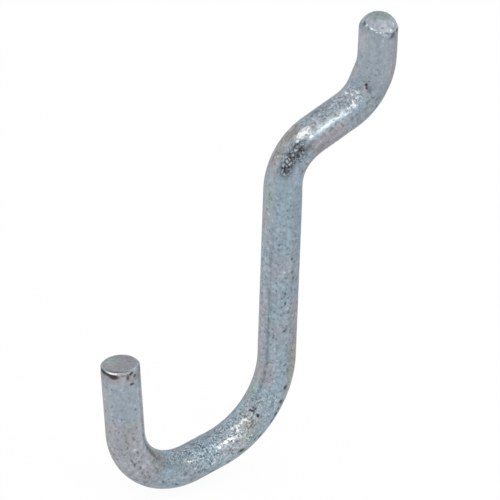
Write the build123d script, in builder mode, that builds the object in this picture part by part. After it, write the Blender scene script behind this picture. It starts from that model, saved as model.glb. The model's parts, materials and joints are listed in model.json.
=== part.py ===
from build123d import *
import math
import os

# Pegboard hook: one round steel rod, cut off and bent in the YZ plane
# The origin is on the peg's axis, halfway up its straight length
# +Y points through the board to its back, -Y towards the user and +Z up

# Rod, with lengths in millimetres and angles in degrees
rod_diameter = 6.0

# Peg that stands up behind the board
peg_length = 4.6  # straight part, below the rounded end
peg_shoulder_angle = 13.0  # crease where the rounded end leaves the straight part

# Crank that passes through the hole in the board
crank_bend_radius = 8.85  # to the rod's centre line, as every bend radius here
crank_angle = 66.7  # turn of both bends: 90 would make the run between them level
crank_run_length = 6.3

# Shank that lies against the front of the board
shank_length = 28.2

# U that carries what is hung on the hook
rear_u_radius = 14.2
front_u_radius = 9.8
floor_run_length = 4.7
floor_slope = 13.2  # fall of the floor towards the front

# Front leg, sheared off square at its tip
front_leg_length = 12.2
front_leg_lean = 5.1  # outward, from upright
tip_chamfer = 0.3

# Sizes worked out from those above
rod_radius = rod_diameter / 2
peg_top = peg_length / 2
dome_radius = rod_radius / math.cos(math.radians(peg_shoulder_angle))
dome_centre = peg_top - dome_radius * math.sin(math.radians(peg_shoulder_angle))
rear_u_turn = 90 - floor_slope
front_u_turn = 180 - rear_u_turn - front_leg_lean

os.makedirs("parts", exist_ok=True)

with BuildPart() as hook:
    # Centre line from the peg's shoulder down to the front tip, straight runs joined by tangent bends
    with BuildLine(Plane.YZ):
        peg = Line((0, peg_top), (0, -peg_top))
        upper_bend = JernArc(peg @ 1, peg % 1, crank_bend_radius, -crank_angle)
        crank_run = PolarLine(upper_bend @ 1, crank_run_length, direction=upper_bend % 1)
        lower_bend = JernArc(crank_run @ 1, crank_run % 1, crank_bend_radius, crank_angle)
        shank = PolarLine(lower_bend @ 1, shank_length, direction=lower_bend % 1)
        rear_u_bend = JernArc(shank @ 1, shank % 1, rear_u_radius, -rear_u_turn)
        floor_run = PolarLine(rear_u_bend @ 1, floor_run_length, direction=rear_u_bend % 1)
        front_u_bend = JernArc(floor_run @ 1, floor_run % 1, front_u_radius, -front_u_turn)
        PolarLine(front_u_bend @ 1, front_leg_length, direction=front_u_bend % 1)
    with BuildSketch(Plane(origin=peg @ 0, z_dir=peg % 0)):
        Circle(rod_radius)
    sweep()

    # Rounded end of the peg, which finds its way into the hole
    with BuildSketch(Plane.YZ):
        with BuildLine():
            dome = CenterArc((0, dome_centre), dome_radius, peg_shoulder_angle, 90 - peg_shoulder_angle)
            Polyline(dome @ 1, (0, peg_top), dome @ 0)
        make_face()
    revolve(axis=Axis.Z)

    # Broken edge round the sheared front tip
    front_tip = hook.faces().filter_by(GeomType.PLANE).sort_by(Axis.Y)[0]
    chamfer(front_tip.edges(), tip_chamfer)

hook.part.label = "hook"
export_step(hook.part, "parts/hook.step")
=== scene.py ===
import json
import math

import bpy
import numpy as np
from mathutils import Matrix, Vector


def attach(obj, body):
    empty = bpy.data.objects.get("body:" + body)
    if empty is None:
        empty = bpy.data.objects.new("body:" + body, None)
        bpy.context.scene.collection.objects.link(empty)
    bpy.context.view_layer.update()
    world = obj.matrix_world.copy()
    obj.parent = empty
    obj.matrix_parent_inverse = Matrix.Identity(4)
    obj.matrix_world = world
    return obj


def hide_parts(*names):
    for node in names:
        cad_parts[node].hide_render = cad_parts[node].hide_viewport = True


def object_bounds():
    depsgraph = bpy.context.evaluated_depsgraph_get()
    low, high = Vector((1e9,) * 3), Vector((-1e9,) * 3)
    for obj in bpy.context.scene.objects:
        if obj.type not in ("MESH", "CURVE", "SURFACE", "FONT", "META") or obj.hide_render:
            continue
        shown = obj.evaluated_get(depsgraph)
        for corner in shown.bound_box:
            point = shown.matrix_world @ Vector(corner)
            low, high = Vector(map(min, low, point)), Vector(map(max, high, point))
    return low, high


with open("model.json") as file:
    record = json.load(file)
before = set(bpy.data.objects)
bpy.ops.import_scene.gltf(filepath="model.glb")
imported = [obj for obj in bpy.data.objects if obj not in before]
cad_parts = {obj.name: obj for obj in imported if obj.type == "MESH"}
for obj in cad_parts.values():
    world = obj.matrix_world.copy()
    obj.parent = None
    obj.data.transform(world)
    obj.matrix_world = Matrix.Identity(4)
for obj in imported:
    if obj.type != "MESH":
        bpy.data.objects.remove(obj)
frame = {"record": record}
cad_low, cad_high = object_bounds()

# Pegboard hook: one zinc-plated round rod, dressed as a single swept mesh with the marks of its making
# Lengths are in millimetres and angles in degrees, and MM turns them into Blender's metres
MM = 0.001

# Rod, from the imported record
MOUNTS = {mount["name"]: mount for mount in frame["record"]["mounts"]}
ROD_RADIUS = MOUNTS["board_peg"]["dims"]["r_mm"]
PEG_LENGTH = MOUNTS["board_peg"]["dims"]["length_mm"]

# Bends, as in the part's source
PEG_SHOULDER = 13.0
CRANK_BEND_RADIUS = 8.85
CRANK_ANGLE = 66.7
CRANK_RUN = 6.3
SHANK_RUN = 28.2
REAR_U_RADIUS = 14.2
FRONT_U_RADIUS = 9.8
FLOOR_RUN = 4.7
FLOOR_SLOPE = 13.2
LEG_RUN = 12.2
LEG_LEAN = 5.1
TIP_CHAMFER = 0.3

REAR_U_TURN = 90 - FLOOR_SLOPE
FRONT_U_TURN = 90 + FLOOR_SLOPE - LEG_LEAN
SHOULDER_SLOPE = math.radians(PEG_SHOULDER)
DOME_RADIUS = ROD_RADIUS / math.cos(SHOULDER_SLOPE)
DOME_HEIGHT = DOME_RADIUS * (1 - math.sin(SHOULDER_SLOPE))

# Centre line from the peg's shoulder to the front tip: length of a run, or radius and turn of a bend
PATH = (
    (PEG_LENGTH,),
    (CRANK_BEND_RADIUS, -CRANK_ANGLE),
    (CRANK_RUN,),
    (CRANK_BEND_RADIUS, CRANK_ANGLE),
    (SHANK_RUN,),
    (REAR_U_RADIUS, -REAR_U_TURN),
    (FLOOR_RUN,),
    (FRONT_U_RADIUS, -FRONT_U_TURN),
    (LEG_RUN,),
)


def run_of(shape):
    """Length of a run or a bend along the centre line."""
    return shape[0] if len(shape) == 1 else shape[0] * math.radians(abs(shape[1]))


ROD_LENGTH = sum(run_of(shape) for shape in PATH)

# Mesh spacing
COLUMNS = 128
RING_STEP = 0.157
DOME_RINGS = 26
CHAMFER_RINGS = 4
FACE_RINGS = 16
SHARP_ANGLE = 50.0


def reach(start, heading, bend, run):
    """Places and headings at these runs from a start, where bend is the turn in each millimetre."""
    angle = heading + bend * run
    if bend == 0.0:
        step = np.stack([run * math.cos(heading), run * math.sin(heading)], axis=-1)
    else:
        across = np.sin(angle) - math.sin(heading)
        upward = math.cos(heading) - np.cos(angle)
        step = np.stack([across, upward], axis=-1) / bend
    return start + step, angle


def centre_line(along):
    """Points and directions of the rod's axis at these distances from the peg's shoulder."""
    points = np.zeros((len(along), 3))
    ways = np.zeros((len(along), 3))
    start, heading, begun = np.array([0.0, PEG_LENGTH / 2]), -math.pi / 2, 0.0
    for index, shape in enumerate(PATH):
        length = run_of(shape)
        bend = 0.0 if len(shape) == 1 else math.radians(shape[1]) / length
        first, last = index == 0, index == len(PATH) - 1
        here = ((along >= begun) | first) & ((along < begun + length) | last)
        points[here, 1:], angle = reach(start, heading, bend, along[here] - begun)
        ways[here, 1] = np.cos(angle)
        ways[here, 2] = np.sin(angle)
        start, heading = reach(start, heading, bend, np.float64(length))
        begun += length
    return points, ways


def rings(along, radius, tilt, out, place):
    """Rings as rows: place along the axis, radius, outward direction along the axis and away from it,
    and place along the surface. What is the same in all of them is given once."""
    return np.stack(np.broadcast_arrays(along, radius, tilt, out, place), 1)


def profile():
    """Rings from the dome to the cut face. The place along the surface is 0 at the peg's shoulder."""
    slope = np.linspace(math.pi / 2, SHOULDER_SLOPE, DOME_RINGS + 1)[1:-1]
    sunk = DOME_RADIUS * math.sin(SHOULDER_SLOPE)
    dome = rings(sunk - DOME_RADIUS * np.sin(slope), DOME_RADIUS * np.cos(slope),
                 -np.sin(slope), np.cos(slope), DOME_RADIUS * (SHOULDER_SLOPE - slope))
    edge = ROD_LENGTH - TIP_CHAMFER
    along = np.linspace(0, edge, round(edge / RING_STEP))
    body = rings(along, ROD_RADIUS, 0, 1, along)
    cut = np.linspace(0, TIP_CHAMFER, CHAMFER_RINGS)[1:]
    slant = math.sqrt(0.5)
    chamfer = rings(edge + cut, ROD_RADIUS - cut, slant, slant, edge + cut / slant)
    face_radius = ROD_RADIUS - TIP_CHAMFER
    inward = face_radius * np.linspace(0, 1, FACE_RINGS + 1)[1:-1]
    face = rings(ROD_LENGTH, face_radius - inward, 1, 0, chamfer[-1, -1] + inward)
    return np.concatenate([dome, body, chamfer, face])


def all_round(ring_values):
    """One value for each ring, repeated in every column."""
    return np.repeat(ring_values[:, None], COLUMNS, axis=1)


RING_ALONG, RING_RADIUS, RING_TILT, RING_OUT, RING_PLACE = profile().T
RING_COUNT = len(RING_ALONG)
ALONG = all_round(RING_ALONG)
RADIUS = all_round(RING_RADIUS)
PLACE = all_round(RING_PLACE)
AROUND = np.repeat(np.linspace(-180, 180, COLUMNS, endpoint=False)[None], RING_COUNT, axis=0)
ANGLE = np.radians(AROUND)
STRAIGHT = np.stack([RADIUS * np.cos(ANGLE), RADIUS * np.sin(ANGLE), ALONG], axis=-1)

# Whole numbers that scatter the corners of a noise's cells
HASH_STEPS = np.array([374761393, 668265263, 2147483647])
HASH_SEED = 1274126177
HASH_ROUNDS = ((13, 1103515245), (16, 69069))
HASH_TOP = 0x7FFFFFFF


def soft_noise(points, size, seed):
    """Smooth noise from -1 to 1 that changes over about this size."""
    scaled = points / size
    cell = np.floor(scaled).astype(np.int64)
    part = scaled - cell
    part = part * part * (3 - 2 * part)
    total = np.zeros(points.shape[:-1])
    for corner in np.ndindex(2, 2, 2):
        mixed = ((cell + np.array(corner)) * HASH_STEPS).sum(axis=-1) + seed * HASH_SEED
        for shift, factor in HASH_ROUNDS:
            mixed = (mixed ^ (mixed >> shift)) * factor & HASH_TOP
        share = np.prod(np.where(np.array(corner) == 1, part, 1 - part), axis=-1)
        total += share * (mixed / (HASH_TOP // 2) - 1)
    return total


def ease(value, low, high):
    """0 below low, 1 above high, and a smooth step between them."""
    share = np.clip((value - low) / (high - low), 0, 1)
    return share * share * (3 - 2 * share)


def turn_from(angle):
    """Angle round the rod from this one, from -180 to 180."""
    return (AROUND - angle + 180) % 360 - 180


def zone(start, end, low, high, soft):
    """1 between these places and angles, with edges that fade over this many millimetres each way."""
    middle, half = (low + high) / 2, (high - low) / 2
    off = (np.abs(turn_from(middle)) - half) * math.radians(1) * ROD_RADIUS
    stretch = ease(PLACE, start - soft, start + soft) * ease(-PLACE, -end - soft, -end + soft)
    return stretch * ease(-off, -soft, soft)


def spot(place, angle, length, width, slant):
    """A soft oval mark, 1 at its middle."""
    run = PLACE - place
    side = np.radians(turn_from(angle)) * RADIUS
    cos, sin = math.cos(math.radians(slant)), math.sin(math.radians(slant))
    far = ((run * cos + side * sin) * 2 / length) ** 2 + ((side * cos - run * sin) * 2 / width) ** 2
    return np.exp(-far)


# Zones and marks lie by distance along the surface from the peg's shoulder, and by angle round the rod
# The angle is 0 at +X, and 90 on the front of the peg and the shank and on the inner side of the U

# Broad changes in the plating: kind, start, end, angles, strength
ZONES = (
    # Hammered where bending worked the skin
    ("peel", 11.0, 16.2, 36, 100, 0.85),
    ("peel", 15.8, 23.0, 50, 100, 0.85),
    ("peel", 65.0, 70.0, -8, 98, 0.80),
    ("peel", 69.5, 85.0, -8, 98, 1.25),
    ("peel", 83.5, 90.5, 42, 98, 1.15),
    ("peel", 21.5, 28.2, 62, 105, 0.70),
    ("peel", 10.5, 23.5, 120, 175, 0.6),
    ("peel", 64.0, 84.0, 110, 175, 0.6),
    # Torn on the outside of the lower crank bend
    ("torn", 23.9, 26.4, 14, 60, 1.0),
    ("torn", 25.4, 28.7, 27, 61, 1.0),
    # Smooth, or too matt for a clear highlight
    ("smooth", -5.0, 10.0, -200, 200, 0.65),
    ("smooth", 28.0, 37.0, -200, 200, 0.4),
    ("smooth", 100.0, 116.0, -200, 200, 0.6),
    ("matt", -5.0, 0.0, -200, 200, 1.2),
    ("matt", 8.0, 16.2, -30, 90, 1.0),
    ("matt", 15.8, 21.6, -30, 90, 0.12),
    ("matt", 21.2, 24.5, -30, 90, 0.5),
    ("matt", 80.0, 94.0, -30, 90, 1.0),
    # Dimmed by a film of dirt, and on the shank's right side by painted shade
    ("grime", 1.0, 8.5, -52, -8, 0.28),
    ("grime", 16.0, 21.5, 74, 112, 0.37),
    ("grime", 17.0, 24.0, -55, 10, 0.28),
    ("grime", 21.6, 28.6, 72, 112, 0.32),
    ("grime", 23.5, 28.5, -32, 12, 0.30),
    # Painted shade: the shank's right side darker, as where it reflects darker surroundings
    ("grime", 29.5, 63.0, -75, 10, 0.28),
    ("grime", 35.5, 53.5, -80, -36, 0.46),
    ("grime", 64.0, 90.0, 100, 150, 0.28),
    ("grime", 75.5, 83.5, 74, 118, 0.35),
    ("grime", 79.0, 94.5, 20, 50, 0.28),
    ("grime", 82.0, 90.0, 92, 150, 0.40),
    ("grime", 110.2, 112.2, -130, 70, 0.28),
    # Cleaner, so paler; where noted, lighter as painted light instead
    ("pale", 0.5, 3.5, 70, 120, 0.35),
    ("pale", 11.5, 15.5, 52, 92, 0.30),
    # Painted highlight: a pale band that widens the crank's highlight streak
    ("pale", 16.2, 21.0, 36, 50, 0.45),
    # Painted light: the shank's left side lighter
    ("pale", 29.5, 58.0, 62, 130, 0.12),
    ("pale", 56.0, 62.0, 28, 70, 0.22),
    ("pale", 74.0, 78.0, -14, 10, 0.25),
    ("pale", 78.0, 90.0, -22, 12, 0.16),
    ("pale", 95.0, 110.0, -125, -62, 0.28),
    ("pale", 97.0, 109.0, 24, 70, 0.75),
    # Tints that the bright dip left
    ("mauve", -0.2, 10.0, -200, 200, 0.35),
    ("mauve", -0.2, 3.0, 62, 125, 0.8),
    ("mauve", 6.0, 9.6, 88, 130, 0.9),
    ("mauve", 1.0, 9.5, -55, -6, 0.9),
    ("mauve", 11.0, 23.0, 30, 100, 0.35),
    ("mauve", 12.5, 17.0, -50, 16, 0.5),
    ("mauve", 17.0, 24.0, -45, 24, 0.9),
    ("mauve", 22.5, 28.6, 68, 130, 0.8),
    ("mauve", 25.2, 27.6, -35, 0, 0.9),
    ("mauve", 34.0, 38.0, 78, 125, 0.8),
    ("mauve", 47.5, 65.0, 72, 125, 0.8),
    ("mauve", 49.0, 60.0, -50, 0, 0.8),
    ("mauve", 60.0, 64.5, 40, 125, 0.9),
    ("mauve", 74.5, 79.0, 0, 60, 0.7),
    ("mauve", 91.0, 104.0, -130, 100, 0.75),
    ("mauve", 104.0, 110.0, -130, 70, 0.3),
    ("mauve", 104.5, 108.5, -130, -68, 0.8),
    ("mauve", 110.0, 112.4, -130, 70, 0.9),
    ("green", 16.0, 21.0, 36, 54, 0.5),
    ("green", 30.0, 34.0, 60, 105, 0.6),
    ("green", 64.5, 68.5, 80, 125, 0.8),
    ("green", 73.0, 75.5, -8, 26, 0.9),
    ("green", 85.0, 91.0, 32, 58, 0.5),
    ("green", -4.5, -2.2, -200, 200, 0.9),
    ("warm", 22.5, 28.6, 72, 130, 0.36),
    ("warm", 95.0, 104.0, -125, -68, 0.25),
)
ZONE_SOFT = 0.8

# Hammered and torn skin: lumps, as size and seed of their noise, and depth of the hollows
PEEL_LUMPS = (0.40, 1)
PEEL_DEPTH = 0.045
TORN_LUMPS = (0.35, 3)
TORN_DEPTH = 0.09

# Ragged lip that the shear left across the front of the peg's rounded end
LIP_RISE = 0.90  # how much higher the lip runs after its climb
LIP_CLIMB = (10, 95)  # angles between which it climbs
LIP_BEGINS = (-37, -17)  # angles over which the lip fades in
LIP_ENDS = (92, 112)  # angles over which it fades out
LIP_JAGS = (0.6, 5)  # size and seed
LIP_JAG_HEIGHT = 0.16
LIP_DEPTH = 0.13
LIP_WIDTH = 0.15
LIP_CREST = 0.9  # bright edge above the lip with painted glints, in lip widths
# Painted shade in the lip's groove, under the overhanging cap
LIP_GROOVE_SHADE = 0.65

# Cap above the lip, which crumbled in places
CAP_DEPTH = 0.07
CAP_LUMPS = (0.8, 8)  # size and seed, as in the next two
CAP_CRUMBS = (0.4, 9)
CRUMBLE = (0.5, 6)
CRUMBLE_SHADED = (-0.35, 0.3)  # levels of the crumble between which painted shade comes into the lip's groove
CRUMBLE_BRIGHT = (-0.3, -0.7)  # levels between which the lip's edge turns bright with painted glints
CAP_PALE_FROM = (-2.7, -1.5)  # places between which the cap turns pale
CAP_PALE = 0.7
CAP_PALE_SWING = 0.45

# Flats and swellings from the bending tool: place, angle, length, width, height
PRESS_MARKS = (
    (27.0, -70, 6.5, 5.5, -0.30),
    (8.4, 128, 4.5, 4.5, 0.22),
)

# Marks one by one: kind, place, angle, length, width, slant, strength, depth
MARKS = (
    # Peg
    ("grime", -1.05, 97, 0.80, 1.10, 30, 0.75, 0.08),
    ("grime", -0.85, 25, 0.45, 0.70, 0, 0.55, 0.03),
    ("grime", -3.30, 60, 1.00, 0.50, 40, 0.45, 0.02),
    ("grime", 0.60, -14, 1.90, 0.95, 58, 0.78, 0.08),
    ("grime", 0.76, -9, 0.80, 0.55, 40, 0.95, 0.06),
    ("grime", 0.10, -36, 0.90, 0.80, 40, 0.85, 0.05),
    ("grime", 1.60, -30, 1.60, 0.80, 20, 0.40, 0.02),
    ("grime", 0.90, -26, 2.00, 1.60, 40, 0.42, 0.03),
    # Painted highlights: a pale patch and glints on the lip and along the dome's right edge
    ("pale", -0.90, -22, 1.20, 1.20, 0, 0.9, 0.0),
    ("bare", -1.25, -26, 0.60, 0.40, 20, 0.9, 0.0),
    ("bare", -0.36, -4, 0.40, 0.40, 0, 0.9, 0.0),
    ("bare", -0.08, 30, 0.30, 0.45, 10, 1.0, 0.0),
    ("bare", -0.20, 42, 0.26, 0.40, 10, 0.9, 0.0),
    ("bare", -0.60, 62, 0.32, 0.50, 25, 1.0, 0.0),
    ("bare", -0.80, 84, 0.30, 0.40, 25, 0.9, 0.0),
    ("grime", 4.90, 36, 0.45, 0.90, 0, 0.45, 0.03),
    ("grime", 5.00, 55, 0.40, 0.50, 0, 0.45, 0.03),
    ("grime", 6.20, 63, 0.40, 0.60, 0, 0.5, 0.03),
    # Painted shade along the peg's right edge
    ("grime", 9.00, -46, 2.00, 0.80, 0, 0.65, 0.03),
    ("grime", 3.20, -26, 2.40, 0.60, 0, 0.35, 0.02),
    # Tool nick above the crank, with painted shade beside it and a painted highlight on its rim
    ("mauve", 10.4, 48, 3.80, 1.10, -33, 1.0, 0.03),
    ("grime", 9.62, 48, 0.80, 0.62, -24, 1.1, 0.12),
    ("grime", 10.14, 42, 0.65, 0.48, -30, 1.1, 0.12),
    ("grime", 9.25, 58, 0.60, 0.45, -50, 0.7, 0.05),
    ("grime", 10.1, 33, 1.80, 1.20, 0, 0.50, 0.04),
    ("grime", 8.75, 45, 0.45, 0.40, 0, 0.7, 0.04),
    ("bare", 9.50, 56, 0.35, 0.35, 0, 0.8, 0.0),
    ("bare", 9.30, 47, 0.40, 0.50, 0, 0.6, 0.0),
    # Painted glints where the bend's highlight breaks up
    ("bare", 13.60, 83, 0.80, 0.80, 0, 0.8, 0.0),
    ("bare", 13.00, 65, 0.80, 0.90, 0, 0.65, 0.0),
    ("bare", 11.90, 57, 0.80, 0.90, 0, 0.75, 0.0),
    ("bare", 12.95, 47, 0.90, 0.70, 0, 0.7, 0.0),
    ("bare", 13.95, 46, 0.80, 0.70, 0, 0.8, 0.0),
    ("bare", 12.85, 33, 0.60, 0.50, 0, 0.55, 0.0),
    ("bare", 14.35, 35, 1.30, 0.80, 20, 0.85, 0.0),
    ("bare", 14.85, 38, 0.70, 0.60, 0, 0.75, 0.0),
    ("bare", 15.35, 38, 0.90, 0.70, 0, 0.7, 0.0),
    ("bare", 15.60, 28, 0.90, 0.45, 0, 0.5, 0.0),
    ("bare", 16.25, 30, 0.80, 0.50, 0, 0.6, 0.0),
    ("grime", 15.50, 62, 0.35, 0.60, 0, 0.5, 0.03),
    ("grime", 15.00, 54, 0.35, 0.60, 0, 0.5, 0.03),
    # Burnished patches beside the torn plating, painted brighter as a highlight
    ("bare", 23.1, 60, 2.00, 1.15, 0, 1.5, 0.0),
    ("bare", 24.1, 58, 0.90, 0.40, 30, 0.9, 0.0),
    ("bare", 22.6, 37, 0.45, 0.60, 0, 0.8, 0.0),
    ("bare", 22.6, 46, 1.90, 1.40, 0, 0.42, 0.0),
    ("pale", 21.2, 38, 2.60, 0.90, 0, 0.4, 0.0),
    ("pale", 21.2, 56, 1.80, 1.50, 0, 0.7, 0.0),
    ("grime", 21.3, 15, 2.60, 1.20, 0, 0.37, 0.0),
    ("grime", 23.9, 20, 3.40, 1.50, 0, 0.56, 0.0),
    ("grime", 22.9, 50, 0.40, 0.40, 40, 0.7, 0.04),
    ("grime", 23.8, 54, 0.45, 0.35, -20, 0.8, 0.04),
    ("grime", 23.5, 41, 0.50, 0.40, 30, 0.7, 0.04),
    ("grime", 22.3, 41, 0.40, 0.35, 30, 0.5, 0.04),
    ("grime", 26.6, 28, 0.90, 0.42, 30, 0.9, 0.05),
    ("grime", 27.3, 31, 0.90, 0.42, -20, 0.9, 0.05),
    ("grime", 28.4, -10, 0.60, 0.40, 40, 0.4, 0.03),
    # Shank
    ("grime", 42.0, -2, 0.60, 0.60, 0, 0.95, 0.05),
    ("grime", 44.3, -4, 0.55, 0.50, 0, 0.9, 0.05),
    ("grime", 45.4, -9, 0.90, 0.50, 20, 0.8, 0.05),
    ("grime", 47.8, 16, 0.90, 0.40, -15, 0.85, 0.05),
    ("grime", 48.3, 19, 0.50, 0.35, 30, 0.8, 0.05),
    ("grime", 48.6, 26, 0.50, 0.40, 0, 0.85, 0.05),
    ("grime", 49.5, 15, 0.90, 0.40, 25, 0.9, 0.05),
    ("grime", 50.1, 25, 0.50, 0.40, 0, 0.75, 0.04),
    ("grime", 51.5, -12, 0.50, 0.40, 0, 0.7, 0.04),
    ("grime", 54.2, 13, 1.00, 0.45, 38, 0.85, 0.05),
    ("grime", 53.9, 8, 0.50, 0.40, 0, 0.7, 0.04),
    ("grime", 55.4, 47, 0.60, 0.40, 40, 0.75, 0.04),
    ("grime", 55.6, 38, 0.45, 0.40, 0, 0.75, 0.04),
    ("warm", 61.0, -26, 7.0, 1.8, 0, 0.9, 0.0),
    # Rear bend of the U
    ("grime", 64.2, -12, 0.95, 0.80, 30, 1.1, 0.08),
    ("grime", 66.5, -18, 0.85, 1.10, 0, 1.0, 0.08),
    ("grime", 67.6, -21, 0.70, 0.70, 20, 0.9, 0.06),
    ("grime", 68.5, -25, 0.95, 0.85, 0, 1.1, 0.08),
    ("grime", 69.6, -26, 0.90, 0.70, 0, 0.9, 0.06),
    ("grime", 72.4, -27, 0.90, 0.70, 30, 0.9, 0.06),
    ("grime", 73.3, -18, 0.60, 0.55, 0, 0.8, 0.05),
    ("grime", 75.9, -16, 1.30, 0.70, 20, 1.1, 0.08),
    ("grime", 78.3, -27, 0.90, 0.60, 0, 0.8, 0.05),
    ("grime", 81.6, -31, 1.10, 0.60, 0, 0.8, 0.05),
    ("grime", 84.5, -16, 0.60, 0.45, 0, 0.6, 0.04),
    ("warm", 66.8, -24, 1.4, 1.1, 0, 0.8, 0.0),
    ("warm", 72.6, -24, 1.8, 1.1, 0, 0.8, 0.0),
    ("warm", 75.6, -24, 1.8, 1.1, 0, 0.8, 0.0),
    ("warm", 72.4, 40, 3.6, 3.2, 0, 0.8, 0.0),
    ("grime", 71.7, 31, 2.40, 1.50, 0, 0.50, 0.0),
    ("grime", 70.15, 62, 0.55, 0.45, 0, 1.1, 0.05),
    ("grime", 70.0, 54, 0.70, 0.45, 30, 1.2, 0.07),
    ("grime", 69.4, 50, 0.60, 0.42, 0, 1.1, 0.05),
    ("grime", 69.4, 58, 0.50, 0.40, 0, 1.0, 0.05),
    ("grime", 70.20, 32, 0.50, 0.66, 35, 1.5, 0.08),
    # Painted highlights: a pale flank beside a speck, glints, and a thin streak along the bend
    ("bare", 69.75, 36, 0.32, 0.60, 35, 0.7, 0.0),
    ("bare", 72.4, 56, 1.30, 0.60, 25, 1.1, 0.0),
    ("bare", 73.1, 58, 1.00, 0.55, -20, 1.1, 0.0),
    ("bare", 74.1, 58, 1.10, 0.60, 10, 1.1, 0.0),
    ("bare", 74.7, 50, 0.80, 0.40, 20, 0.8, 0.0),
    ("bare", 75.1, 63, 0.90, 0.45, 10, 0.9, 0.0),
    ("bare", 75.0, 75, 0.45, 0.40, 0, 0.8, 0.0),
    ("bare", 75.9, 37, 1.00, 0.40, -15, 0.9, 0.0),
    ("bare", 76.7, 42, 1.10, 0.40, 20, 0.9, 0.0),
    ("bare", 77.9, 41, 1.20, 0.40, 0, 0.9, 0.0),
    ("bare", 79.2, 36, 0.80, 0.32, 20, 0.75, 0.0),
    ("bare", 79.9, 32, 0.45, 0.30, 40, 0.7, 0.0),
    ("bare", 80.9, 38, 0.55, 0.30, 0, 0.7, 0.0),
    ("bare", 82.9, 34, 1.80, 0.30, 8, 0.82, 0.0),
    ("bare", 84.8, 40, 2.40, 0.30, 8, 0.88, 0.0),
    # Front bend and leg
    ("grime", 87.4, -27, 0.90, 0.50, 30, 0.8, 0.05),
    ("grime", 90.0, -17, 0.80, 0.45, 30, 0.8, 0.05),
    ("grime", 92.7, -16, 0.50, 0.40, 0, 0.75, 0.04),
    ("grime", 93.8, -9, 0.50, 0.40, 0, 0.75, 0.04),
    ("grime", 95.3, -14, 0.70, 0.45, 30, 0.8, 0.04),
    ("grime", 96.2, -24, 0.90, 0.40, 30, 0.8, 0.04),
    # Painted shade: a dark band on the inner side of the front bend, where the floor run is reflected
    ("grime", 94.0, 45, 5.20, 0.70, 0, 0.52, 0.03),
    ("warm", 94.5, 48, 4.20, 1.40, 0, 0.6, 0.0),
    ("grime", 98.0, 0, 0.90, 0.45, 0, 0.75, 0.04),
    ("grime", 97.0, -26, 1.20, 0.40, -10, 0.7, 0.04),
    ("warm", 100.9, -28, 2.8, 0.60, 0, 0.6, 0.0),
    ("green", 100.9, -28, 3.0, 0.60, 0, 1.0, 0.0),
    ("grime", 100.9, -28, 2.8, 0.60, 0, 0.36, 0.0),
    ("grime", 99.4, -27, 0.60, 0.45, 0, 0.65, 0.03),
    # Sheared front tip: bright rim as a painted highlight, a lighter chamfer band as painted light, painted
    # shade in the undercut below the rim and along the chamfer's edge, rust in the undercut, and pits
    # beside it
    ("bare", 112.36, -58, 0.36, 2.4, 0, 1.4, 0.0),
    ("grime", 112.00, -21, 0.32, 1.4, 0, 0.62, 0.04),
    ("warm", 112.20, -20, 0.50, 1.6, 0, 0.9, 0.0),
    ("pale", 111.35, -20, 1.00, 1.6, 0, 0.75, 0.0),
    ("pale", 112.62, 24, 0.50, 2.4, 0, 0.60, 0.06),
    ("grime", 112.74, -50, 0.44, 3.8, 0, 0.88, 0.06),
    ("grime", 112.02, -92, 0.75, 2.6, 0, 1.3, 0.22),
    ("grime", 111.90, -72, 0.55, 1.8, 0, 1.2, 0.12),
    ("rust", 111.74, -52, 0.90, 2.0, 0, 1.1, 0.22),
    ("grime", 111.77, -55, 0.60, 1.4, 0, 1.0, 0.0),
    ("grime", 112.05, 3, 1.10, 0.48, 64, 1.2, 0.08),
    ("grime", 111.52, -9, 1.50, 0.72, 0, 0.88, 0.04),
    ("grime", 111.42, 16, 0.70, 0.75, 0, 0.95, 0.06),
    ("grime", 110.85, 19, 0.55, 0.50, 0, 0.65, 0.04),
    ("grime", 110.22, 3, 0.50, 0.80, 0, 1.15, 0.08),
    ("grime", 111.80, 46, 1.00, 0.60, 0, 1.0, 0.06),
    ("grime", 112.66, -60, 0.30, 0.70, 0, 0.65, 0.04),
    ("grime", 112.64, -10, 0.32, 0.70, 0, 0.75, 0.05),
    ("grime", 113.25, 115, 0.40, 1.00, 0, 0.5, 0.02),
    ("green", 113.50, -150, 1.80, 2.20, 0, 1.0, 0.0),
)

# Pits in the plating: start, end, angles, number
PIT_ZONES = (
    (32, 62, -45, 20, 150),
    (32, 62, 20, 130, 70),
    (62, 82, -40, 120, 120),
    (84, 106, -90, 10, 130),
    (0, 31, -60, 130, 40),
    (104, 112, -180, 180, 50),
    (0, 112, 130, 310, 420),
)
PIT_RADIUS = (0.12, 0.25)
PIT_STRENGTH = (0.25, 0.95)
PIT_REACH = 3  # radii beyond which a pit no longer shows
PIT_DEPTH = 0.04
PIT_GRIME = 0.8
PIT_SEED = 7

# Cut face: how far past the rod's length, along the surface, its grey fades in
CUT_FROM = (0.1, 0.25)

# Masks stored on the mesh's points, which the material reads
MASKS = ("grime", "rust", "warm", "bare", "pale", "mauve", "green",
         "peel", "torn", "smooth", "matt", "cut")


def pits(generator):
    """Dark pits at random places, as a depth from 0 to 1."""
    depth = np.zeros_like(ALONG)
    for start, end, low, high, number in PIT_ZONES:
        for _ in range(number):
            place, angle = generator.uniform(start, end), generator.uniform(low, high)
            radius = generator.uniform(*PIT_RADIUS)
            strength = generator.uniform(*PIT_STRENGTH)
            near = np.abs(RING_PLACE - place) < PIT_REACH * radius
            side = np.radians(turn_from(angle)[near]) * ROD_RADIUS
            off = ((PLACE[near] - place) ** 2 + side ** 2) / radius ** 2
            depth[near] = np.maximum(depth[near], strength * np.exp(-off))
    return depth


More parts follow.
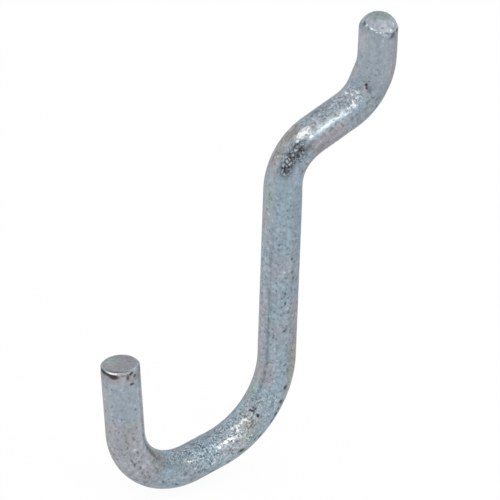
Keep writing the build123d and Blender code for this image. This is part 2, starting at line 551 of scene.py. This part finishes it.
def peg_lip():
    """Distance down the peg from its ragged lip, and how strongly the lip shows round it."""
    ring = STRAIGHT * np.array([ROD_RADIUS, ROD_RADIUS, 0.0]) / RADIUS[..., None]
    jag = LIP_JAG_HEIGHT * soft_noise(ring, *LIP_JAGS)
    below = PLACE + LIP_RISE * ease(AROUND, *LIP_CLIMB) + jag
    shows = ease(AROUND, *LIP_BEGINS) * ease(-AROUND, -LIP_ENDS[1], -LIP_ENDS[0])
    return below, shows


def cover(masks, kind, strength):
    """Lay a mark of this kind over those that are there, so that the stronger one shows."""
    masks[kind] = np.maximum(masks[kind], strength)


def add_zones(height, masks):
    """Broad changes in the plating, with the hollows of hammered and torn skin."""
    for kind, start, end, low, high, strength in ZONES:
        cover(masks, kind, strength * zone(start, end, low, high, ZONE_SOFT))
    height += PEEL_DEPTH * masks["peel"] * (soft_noise(STRAIGHT, *PEEL_LUMPS) - 1) / 2
    height += TORN_DEPTH * masks["torn"] * (soft_noise(STRAIGHT, *TORN_LUMPS) - 1) / 2


def add_peg_end(height, masks):
    """The peg's ragged lip, with painted shade in its groove and painted glints on its edge, and the uneven
    cap above it.
    """
    below, shows = peg_lip()
    crumble = soft_noise(STRAIGHT, *CRUMBLE)
    cap = ease(-below, 0, LIP_WIDTH)
    groove = shows * np.exp(-(below / LIP_WIDTH - 1) ** 2)
    crest = shows * np.exp(-(below / LIP_WIDTH + LIP_CREST) ** 2)
    height -= LIP_DEPTH * groove
    cover(masks, "grime", LIP_GROOVE_SHADE * groove * ease(crumble, *CRUMBLE_SHADED))
    cover(masks, "bare", crest * ease(crumble, *CRUMBLE_BRIGHT))
    lumps = soft_noise(STRAIGHT, *CAP_LUMPS) + soft_noise(STRAIGHT, *CAP_CRUMBS) - 2
    height += CAP_DEPTH * cap * lumps / 2
    cover(masks, "pale", cap * ease(PLACE, *CAP_PALE_FROM) * (CAP_PALE + CAP_PALE_SWING * crumble))


def add_marks(height, masks):
    """Marks of the bending tool, marks one by one, and pits."""
    for place, angle, length, width, rise in PRESS_MARKS:
        height += rise * spot(place, angle, length, width, 0)
    for kind, place, angle, length, width, slant, strength, depth in MARKS:
        mark = spot(place, angle, length, width, slant)
        height -= depth * mark
        cover(masks, kind, strength * mark)
    holes = pits(np.random.default_rng(PIT_SEED))
    height -= PIT_DEPTH * holes
    cover(masks, "grime", PIT_GRIME * holes)


def surface():
    """Height of the worked surface over the plain rod, and the masks that colour it."""
    height = np.zeros_like(ALONG)
    masks = {kind: np.zeros_like(ALONG) for kind in MASKS}
    add_zones(height, masks)
    add_peg_end(height, masks)
    add_marks(height, masks)
    cover(masks, "cut", ease(PLACE, ROD_LENGTH + CUT_FROM[0], ROD_LENGTH + CUT_FROM[1]))
    return height, masks


def rod_points(height):
    """Points of the rings and of the two ends, in metres, kept inside the CAD box."""
    centre, way = centre_line(RING_ALONG)
    side = np.array([1.0, 0.0, 0.0])
    inner = np.cross(way, side)
    turn = ANGLE[..., None]
    out = np.cos(turn) * side + np.sin(turn) * inner[:, None]
    lift = height[..., None]
    outward = out * (RADIUS[..., None] + RING_OUT[:, None, None] * lift)
    endward = RING_TILT[:, None, None] * lift * way[:, None]
    points = centre[:, None] + outward + endward
    ends, _ = centre_line(np.array([-DOME_HEIGHT, ROD_LENGTH]))
    points = np.concatenate([points.reshape(-1, 3), ends])
    return np.clip(points * MM, np.array(cad_low), np.array(cad_high))


def rod_faces():
    """Four-cornered faces between the rings, and three-cornered ones round the two ends."""
    count = RING_COUNT * COLUMNS
    corner = np.arange(count).reshape(RING_COUNT, COLUMNS)
    ahead = np.roll(corner, -1, axis=1)
    walls = np.stack([corner[:-1], ahead[:-1], ahead[1:], corner[1:]], -1).reshape(-1, 4)
    faces = [tuple(face) for face in walls.tolist()]
    for k in range(COLUMNS):
        faces.append((int(ahead[0, k]), int(corner[0, k]), count))
        faces.append((int(corner[-1, k]), int(ahead[-1, k]), count + 1))
    return faces


def rod_mesh():
    """The hook as one closed mesh, with the masks and the straightened place stored on its points."""
    height, masks = surface()
    mesh = bpy.data.meshes.new("hook_rod")
    mesh.from_pydata(rod_points(height).tolist(), [], rod_faces())
    mesh.validate()
    mesh.shade_smooth()
    mesh.set_sharp_from_angle(angle=math.radians(SHARP_ANGLE))

    straight = np.concatenate([STRAIGHT.reshape(-1, 3), [[0, 0, -DOME_HEIGHT], [0, 0, ROD_LENGTH]]])
    place = mesh.attributes.new("rod_mm", "FLOAT_VECTOR", "POINT")
    place.data.foreach_set("vector", straight.astype(np.float32).ravel())
    for name, mask in masks.items():
        values = np.concatenate([mask.ravel(), [mask[0].mean(), mask[-1].mean()]])
        mesh.attributes.new(name, "FLOAT", "POINT").data.foreach_set("value", values.astype(np.float32))
    return mesh


def add(tree, kind, inputs=None, **settings):
    """A new node with these settings, whose inputs are linked to sockets or set to values."""
    node = tree.nodes.new(kind)
    for name, value in settings.items():
        setattr(node, name, value)
    for name, value in (inputs or {}).items():
        if isinstance(value, bpy.types.NodeSocket):
            tree.links.new(value, node.inputs[name])
        else:
            node.inputs[name].default_value = value
    return node


def noise(tree, place, scale, detail, rough, stretch):
    """Noise from 0 to 1 over the straightened rod, with scale in cycles a millimetre."""
    moved = add(tree, "ShaderNodeMapping", {"Vector": place, "Scale": [scale * k for k in stretch]})
    made = add(tree, "ShaderNodeTexNoise", {"Vector": moved.outputs[0], "Scale": 1.0, "Detail": detail,
                                            "Roughness": rough})
    return made.outputs["Fac"]


def cells(tree, place, scale, wobble):
    """Distance from the nearest edge of uneven cells over the straightened rod."""
    shift = add(tree, "ShaderNodeTexNoise", {"Vector": place, "Scale": scale, "Detail": 1.0})
    moved = add(tree, "ShaderNodeVectorMath",
                {0: shift.outputs["Color"], 1: (wobble, wobble, wobble), 2: place},
                operation="MULTIPLY_ADD")
    made = add(tree, "ShaderNodeTexVoronoi", {"Vector": moved.outputs[0], "Scale": scale},
               feature="DISTANCE_TO_EDGE")
    return made.outputs["Distance"]


def ranged(tree, value, low, high, to_low, to_high):
    """A value carried from one range to another, and held at its ends."""
    made = add(tree, "ShaderNodeMapRange", {"Value": value, "From Min": low, "From Max": high,
                                            "To Min": to_low, "To Max": to_high})
    return made.outputs["Result"]


def sums(tree, kind, first, *others):
    """Values joined one after another by this operation."""
    for other in others:
        first = add(tree, "ShaderNodeMath", {0: first, 1: other}, operation=kind).outputs[0]
    return first


def blend(tree, share, first, second, kind="MIX"):
    """Two colours mixed by this share."""
    node = add(tree, "ShaderNodeMix", data_type="RGBA", blend_type=kind)
    for index, value in ((0, share), (6, first), (7, second)):
        if isinstance(value, bpy.types.NodeSocket):
            tree.links.new(value, node.inputs[index])
        else:
            node.inputs[index].default_value = value if index == 0 else (*value, 1.0)
    return node.outputs[2]


def layered(tree, colour, layers):
    """A colour with others laid over it in turn, each by its share."""
    for share, tint in layers:
        colour = blend(tree, share, colour, tint)
    return colour


# Colours of the plating, as the eye sees them under even white light
ZINC_BLUE = (0.306, 0.391, 0.456)
ZINC_MAUVE = (0.375, 0.368, 0.398)
ZINC_GREEN = (0.322, 0.392, 0.375)
CUT_GREY = (0.285, 0.290, 0.315)
PALE_ZINC = (0.525, 0.548, 0.600)
# Pale flakes, which on the hammered skin are partly painted sparkle
FLAKE_AND_SPARKLE = (0.60, 0.66, 0.71)
TORN_GREY = (0.180, 0.180, 0.212)
# White of bare steel, also used for painted glints and highlights
BARE_STEEL_AND_GLINT = (0.92, 0.945, 0.965)
WARM_ZINC = (0.385, 0.358, 0.306)
# Dark of dirt, also used for painted shade
GRIME_AND_SHADE = (0.033, 0.034, 0.037)
RUST = (0.075, 0.048, 0.030)
EDGE_TINT = (0.78, 0.78, 0.78)

# Noises over the straightened rod: cycles a millimetre, detail, roughness, stretch
NOISES = {
    "patches": (0.20, 2.0, 0.55, (1, 1, 1)),
    "clouds": (0.31, 2.0, 0.55, (1, 1, 0.7)),
    "mottle": (1.1, 4.0, 0.6, (1, 1, 1)),
    "drawn": (1.0, 3.0, 0.6, (3.0, 3.0, 0.25)),
    "grain": (2.1, 2.0, 0.6, (1, 1, 1)),
    "freckle": (1.6, 1.0, 0.55, (1, 1, 1)),
    "hammer": (3.2, 1.0, 0.5, (1, 1, 1)),
    "cluster": (0.8, 1.0, 0.55, (1, 1, 1)),
}
TORN_CELLS = (1.9, 0.6)  # cells a millimetre, and millimetres by which their edges wander

# Ramps from a noise or a mask: its low and high, and what these two become
MAUVE_PATCHES = (0.48, 0.66, 0.0, 0.45)
GREEN_CLOUDS = (0.56, 0.70, 0.0, 0.45)
HAMMERED = (0.35, 0.62, 0.4, 1.15)
# Painted shade in the hollows of the hammered skin
HOLLOWS = (0.47, 0.35, 0.0, -0.50)
CALM = (0.0, 1.0, 1.0, 0.35)
# Pale flakes on the hammered skin's peaks, partly painted sparkle
SPARKLE_FLAKES = (0.55, 0.67, 0.0, 0.95)
TORN_FLAKES = (0.20, 0.36, 0.0, 0.70)
CRACKS = (0.07, 0.24, 1.0, 0.0)
CRACK_BREAKS = (0.40, 0.60, 0.40, 1.3)
GLINTS = (0.38, 0.62, 0.55, 1.35)
BARE_AND_GLINT_EDGE = (0.18, 0.90, 0.0, 1.0)
RUST_EDGE = (0.25, 0.75, 0.0, 1.0)
GRIME_AND_SHADE_EDGE = (0.2, 0.9, 0.0, 1.0)
METALLIC = (0.15, 1.0, 1.0, 0.2)
ROUGHNESS = (0.3, 0.7, 0.26, 0.40)

# Light and dark over the plating: noise, and ramp to a brightness
LIGHT_RAMPS = (
    ("mottle", (0.32, 0.68, 0.84, 1.16)),
    ("drawn", (0.3, 0.7, 0.93, 1.07)),
    ("grain", (0.3, 0.7, 0.80, 1.20)),
    ("freckle", (0.62, 0.72, 1.0, 0.62)),
    ("freckle", (0.28, 0.36, 1.25, 1.0)),
)

# Shares of a mask
TORN_SHARE = 0.6
WARM_DULLS = 0.4
DULL_ROUGHENS = 0.25
MATT_ROUGHENS = 0.25

# Relief in millimetres
GRAIN_RELIEF = 0.018
DRAWN_RELIEF = 0.010
HAMMER_RELIEF = 0.045
CRACK_RELIEF = 0.050


def stored(tree, name, output):
    """What the mesh's points hold under this name."""
    return add(tree, "ShaderNodeAttribute", attribute_name=name).outputs[output]


def rod_patterns(tree):
    """The noises and the torn skin's cells, by name."""
    place = stored(tree, "rod_mm", "Vector")
    patterns = {name: noise(tree, place, *sizes) for name, sizes in NOISES.items()}
    patterns["cells"] = cells(tree, place, *TORN_CELLS)
    return patterns


def plating_colour(tree, masks, patterns):
    """Blue zinc with patches of mauve and green, pale patches of which some are painted light, stains, torn
    plating and the grey of the cut face.
    """
    mauve = sums(tree, "MAXIMUM", masks["mauve"], ranged(tree, patterns["patches"], *MAUVE_PATCHES))
    green = sums(tree, "MAXIMUM", masks["green"], ranged(tree, patterns["clouds"], *GREEN_CLOUDS))
    return layered(tree, ZINC_BLUE, (
        (mauve, ZINC_MAUVE),
        (masks["cut"], CUT_GREY),
        (green, ZINC_GREEN),
        (masks["pale"], PALE_ZINC),
        (masks["warm"], WARM_ZINC),
        (sums(tree, "MULTIPLY", masks["torn"], TORN_SHARE), TORN_GREY),
    ))


def worked_colour(tree, masks, patterns, colour):
    """Mottled light and dark, fainter where the plating is smooth, painted shade in the hollows of the
    hammered skin, and pale flakes on the worked skin, partly painted sparkle on the hammered skin.
    """
    hammer = patterns["hammer"]
    hammered = sums(tree, "MULTIPLY", masks["peel"], ranged(tree, patterns["cluster"], *HAMMERED))
    hollow_shade = sums(tree, "MULTIPLY", ranged(tree, hammer, *HOLLOWS), hammered)
    levels = [ranged(tree, patterns[name], *ramp) for name, ramp in LIGHT_RAMPS]
    light = sums(tree, "MULTIPLY", *levels, sums(tree, "ADD", hollow_shade, 1.0))
    shade = add(tree, "ShaderNodeCombineColor", {0: light, 1: light, 2: light}).outputs[0]
    mottled = blend(tree, 1.0, colour, shade, "MULTIPLY")
    colour = blend(tree, ranged(tree, masks["smooth"], *CALM), colour, mottled)
    flake_sparkle = sums(tree, "MULTIPLY", ranged(tree, hammer, *SPARKLE_FLAKES), hammered)
    torn_flake = sums(tree, "MULTIPLY", ranged(tree, patterns["cells"], *TORN_FLAKES), masks["torn"])
    return layered(tree, colour, ((flake_sparkle, FLAKE_AND_SPARKLE), (torn_flake, FLAKE_AND_SPARKLE)))


def marked_colour(tree, masks, patterns, colour, dark):
    """Bare steel and painted glints, rust, and dirt and painted shade over the plating."""
    glint = sums(tree, "MULTIPLY", masks["bare"], ranged(tree, patterns["hammer"], *GLINTS))
    return layered(tree, colour, (
        (ranged(tree, glint, *BARE_AND_GLINT_EDGE), BARE_STEEL_AND_GLINT),
        (ranged(tree, masks["rust"], *RUST_EDGE), RUST),
        (dark, GRIME_AND_SHADE),
    ))


def skin_relief(tree, masks, patterns, crack):
    """The shader's normal, bent by the fine relief of the skin."""
    height = sums(tree, "ADD",
                  sums(tree, "MULTIPLY", patterns["grain"], GRAIN_RELIEF),
                  sums(tree, "MULTIPLY", patterns["drawn"], DRAWN_RELIEF),
                  sums(tree, "MULTIPLY", patterns["hammer"], masks["peel"], HAMMER_RELIEF),
                  sums(tree, "MULTIPLY", crack, -CRACK_RELIEF))
    bump = add(tree, "ShaderNodeBump", {"Height": height, "Strength": 1.0, "Distance": MM})
    return bump.outputs[0]


def zinc_material():
    """Dull zinc plating with drawn grain, patches of tint, hammered skin, pits, dirt and a little rust,
    with painted glints, highlights and shade in its colour.
    """
    material = bpy.data.materials.new("zinc_plate")
    material.use_nodes = True
    tree = material.node_tree
    masks = {name: stored(tree, name, "Fac") for name in MASKS}
    patterns = rod_patterns(tree)

    crack = sums(tree, "MULTIPLY", ranged(tree, patterns["cells"], *CRACKS),
                 ranged(tree, patterns["grain"], *CRACK_BREAKS), masks["torn"])
    dark = sums(tree, "MAXIMUM", crack, ranged(tree, masks["grime"], *GRIME_AND_SHADE_EDGE))
    dull = sums(tree, "MAXIMUM", dark, masks["rust"], sums(tree, "MULTIPLY", masks["warm"], WARM_DULLS))
    rough = sums(tree, "ADD", ranged(tree, patterns["mottle"], *ROUGHNESS),
                 sums(tree, "MULTIPLY", dull, DULL_ROUGHENS),
                 sums(tree, "MULTIPLY", masks["matt"], MATT_ROUGHENS))
    colour = plating_colour(tree, masks, patterns)
    colour = worked_colour(tree, masks, patterns, colour)
    colour = marked_colour(tree, masks, patterns, colour, dark)

    shader = tree.nodes["Principled BSDF"]
    shader.inputs["Specular Tint"].default_value = (*EDGE_TINT, 1.0)
    tree.links.new(colour, shader.inputs["Base Color"])
    tree.links.new(ranged(tree, dull, *METALLIC), shader.inputs["Metallic"])
    tree.links.new(rough, shader.inputs["Roughness"])
    tree.links.new(skin_relief(tree, masks, patterns, crack), shader.inputs["Normal"])
    return material


# Camera at the photograph's viewing angle
CAMERA_AZIMUTH = 55.7
CAMERA_ELEVATION = 25.886
CAMERA_ROLL = 1.897
CAMERA_DISTANCE = 450.0
CAMERA_LENS = 213.067
SENSOR_WIDTH = 36.0
CAMERA_AIM = (0.0, -22.159, -29.898)
CAMERA_NEAR = 10.0  # nothing closer than this is drawn

# Lamps: azimuth and elevation seen from the hook, distance, side, watts
LAMPS = {
    "key": (95.9, 38.5, 600.0, 110.0, 0.37),
}

# Floor and surroundings
FLOOR_SIDE = 3000.0
FLOOR_SHADE = 0.06  # how much of its own shading shows to the camera, so that the shadow stays but is faint
FLOOR_PAPER = 0.94
WHITE = (1, 1, 1, 1)


def toward(azimuth, elevation):
    """Direction from the hook to something at these angles, with azimuth 0 in front."""
    a, e = math.radians(azimuth), math.radians(elevation)
    return Vector((math.sin(a) * math.cos(e), -math.cos(a) * math.cos(e), math.sin(e)))


def link(thing):
    """The same object, now in the scene."""
    bpy.context.scene.collection.objects.link(thing)
    return thing


def make_camera():
    """Camera at the photograph's viewing angle, rolled a little about its line of sight."""
    back = toward(CAMERA_AZIMUTH, CAMERA_ELEVATION)
    right = Vector((math.cos(math.radians(CAMERA_AZIMUTH)), math.sin(math.radians(CAMERA_AZIMUTH)), 0))
    up = back.cross(right)
    roll = math.radians(CAMERA_ROLL)
    tilted = right * math.cos(roll) + up * math.sin(roll)
    up = up * math.cos(roll) - right * math.sin(roll)
    data = bpy.data.cameras.new("camera")
    data.sensor_width = SENSOR_WIDTH
    data.lens = CAMERA_LENS
    data.clip_start = CAMERA_NEAR * MM
    camera = link(bpy.data.objects.new("camera", data))
    place = (Vector(CAMERA_AIM) + back * CAMERA_DISTANCE) * MM
    camera.matrix_world = Matrix.Translation(place) @ Matrix((tilted, up, back)).transposed().to_4x4()
    bpy.context.scene.camera = camera


def make_lamps():
    """Square lamps that face the hook."""
    aim = Vector(CAMERA_AIM) * MM
    for name, (azimuth, elevation, distance, side, watts) in LAMPS.items():
        data = bpy.data.lights.new(name, "AREA")
        data.shape = "SQUARE"
        data.size = side * MM
        data.energy = watts
        lamp = link(bpy.data.objects.new(name, data))
        back = toward(azimuth, elevation)
        lamp.location = aim + back * distance * MM
        lamp.rotation_euler = back.to_track_quat("Z", "Y").to_euler()


def make_world():
    """Even white light from all round."""
    world = bpy.data.worlds.new("studio")
    world.use_nodes = True
    background = world.node_tree.nodes["Background"]
    background.inputs["Color"].default_value = WHITE
    background.inputs["Strength"].default_value = 1.0
    bpy.context.scene.world = world


def floor_material():
    """Pale paper that the camera and reflections see as white, apart from a share of its own shading."""
    material = bpy.data.materials.new("floor")
    material.use_nodes = True
    tree = material.node_tree
    tree.nodes.clear()
    path = add(tree, "ShaderNodeLightPath")
    seen = sums(tree, "MAXIMUM", path.outputs["Is Camera Ray"], path.outputs["Is Glossy Ray"],
                path.outputs["Is Transmission Ray"])
    paper = add(tree, "ShaderNodeBsdfDiffuse", {"Color": (FLOOR_PAPER, FLOOR_PAPER, FLOOR_PAPER, 1)})
    glow = add(tree, "ShaderNodeEmission", {"Color": WHITE, "Strength": 1.0})
    share = sums(tree, "MULTIPLY", seen, 1 - FLOOR_SHADE)
    mixed = add(tree, "ShaderNodeMixShader", {0: share, 1: paper.outputs[0], 2: glow.outputs[0]})
    add(tree, "ShaderNodeOutputMaterial", {"Surface": mixed.outputs[0]})
    return material


def make_floor():
    """Square floor at the height of the hook's lowest point."""
    half = FLOOR_SIDE * MM / 2
    corners = [(-half, -half, 0), (half, -half, 0), (half, half, 0), (-half, half, 0)]
    mesh = bpy.data.meshes.new("floor")
    mesh.from_pydata(corners, [], [(0, 1, 2, 3)])
    mesh.materials.append(floor_material())
    floor = link(bpy.data.objects.new("floor", mesh))
    floor.location.z = cad_low.z


def make_hook():
    """The hook's mesh and material, in place of its CAD solid."""
    mesh = rod_mesh()
    mesh.materials.append(zinc_material())
    hook = link(bpy.data.objects.new("hook_rod", mesh))
    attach(hook, "root")
    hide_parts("hook")


bpy.context.scene.view_settings.view_transform = "Standard"
make_camera()
make_lamps()
make_world()
make_floor()
make_hook()
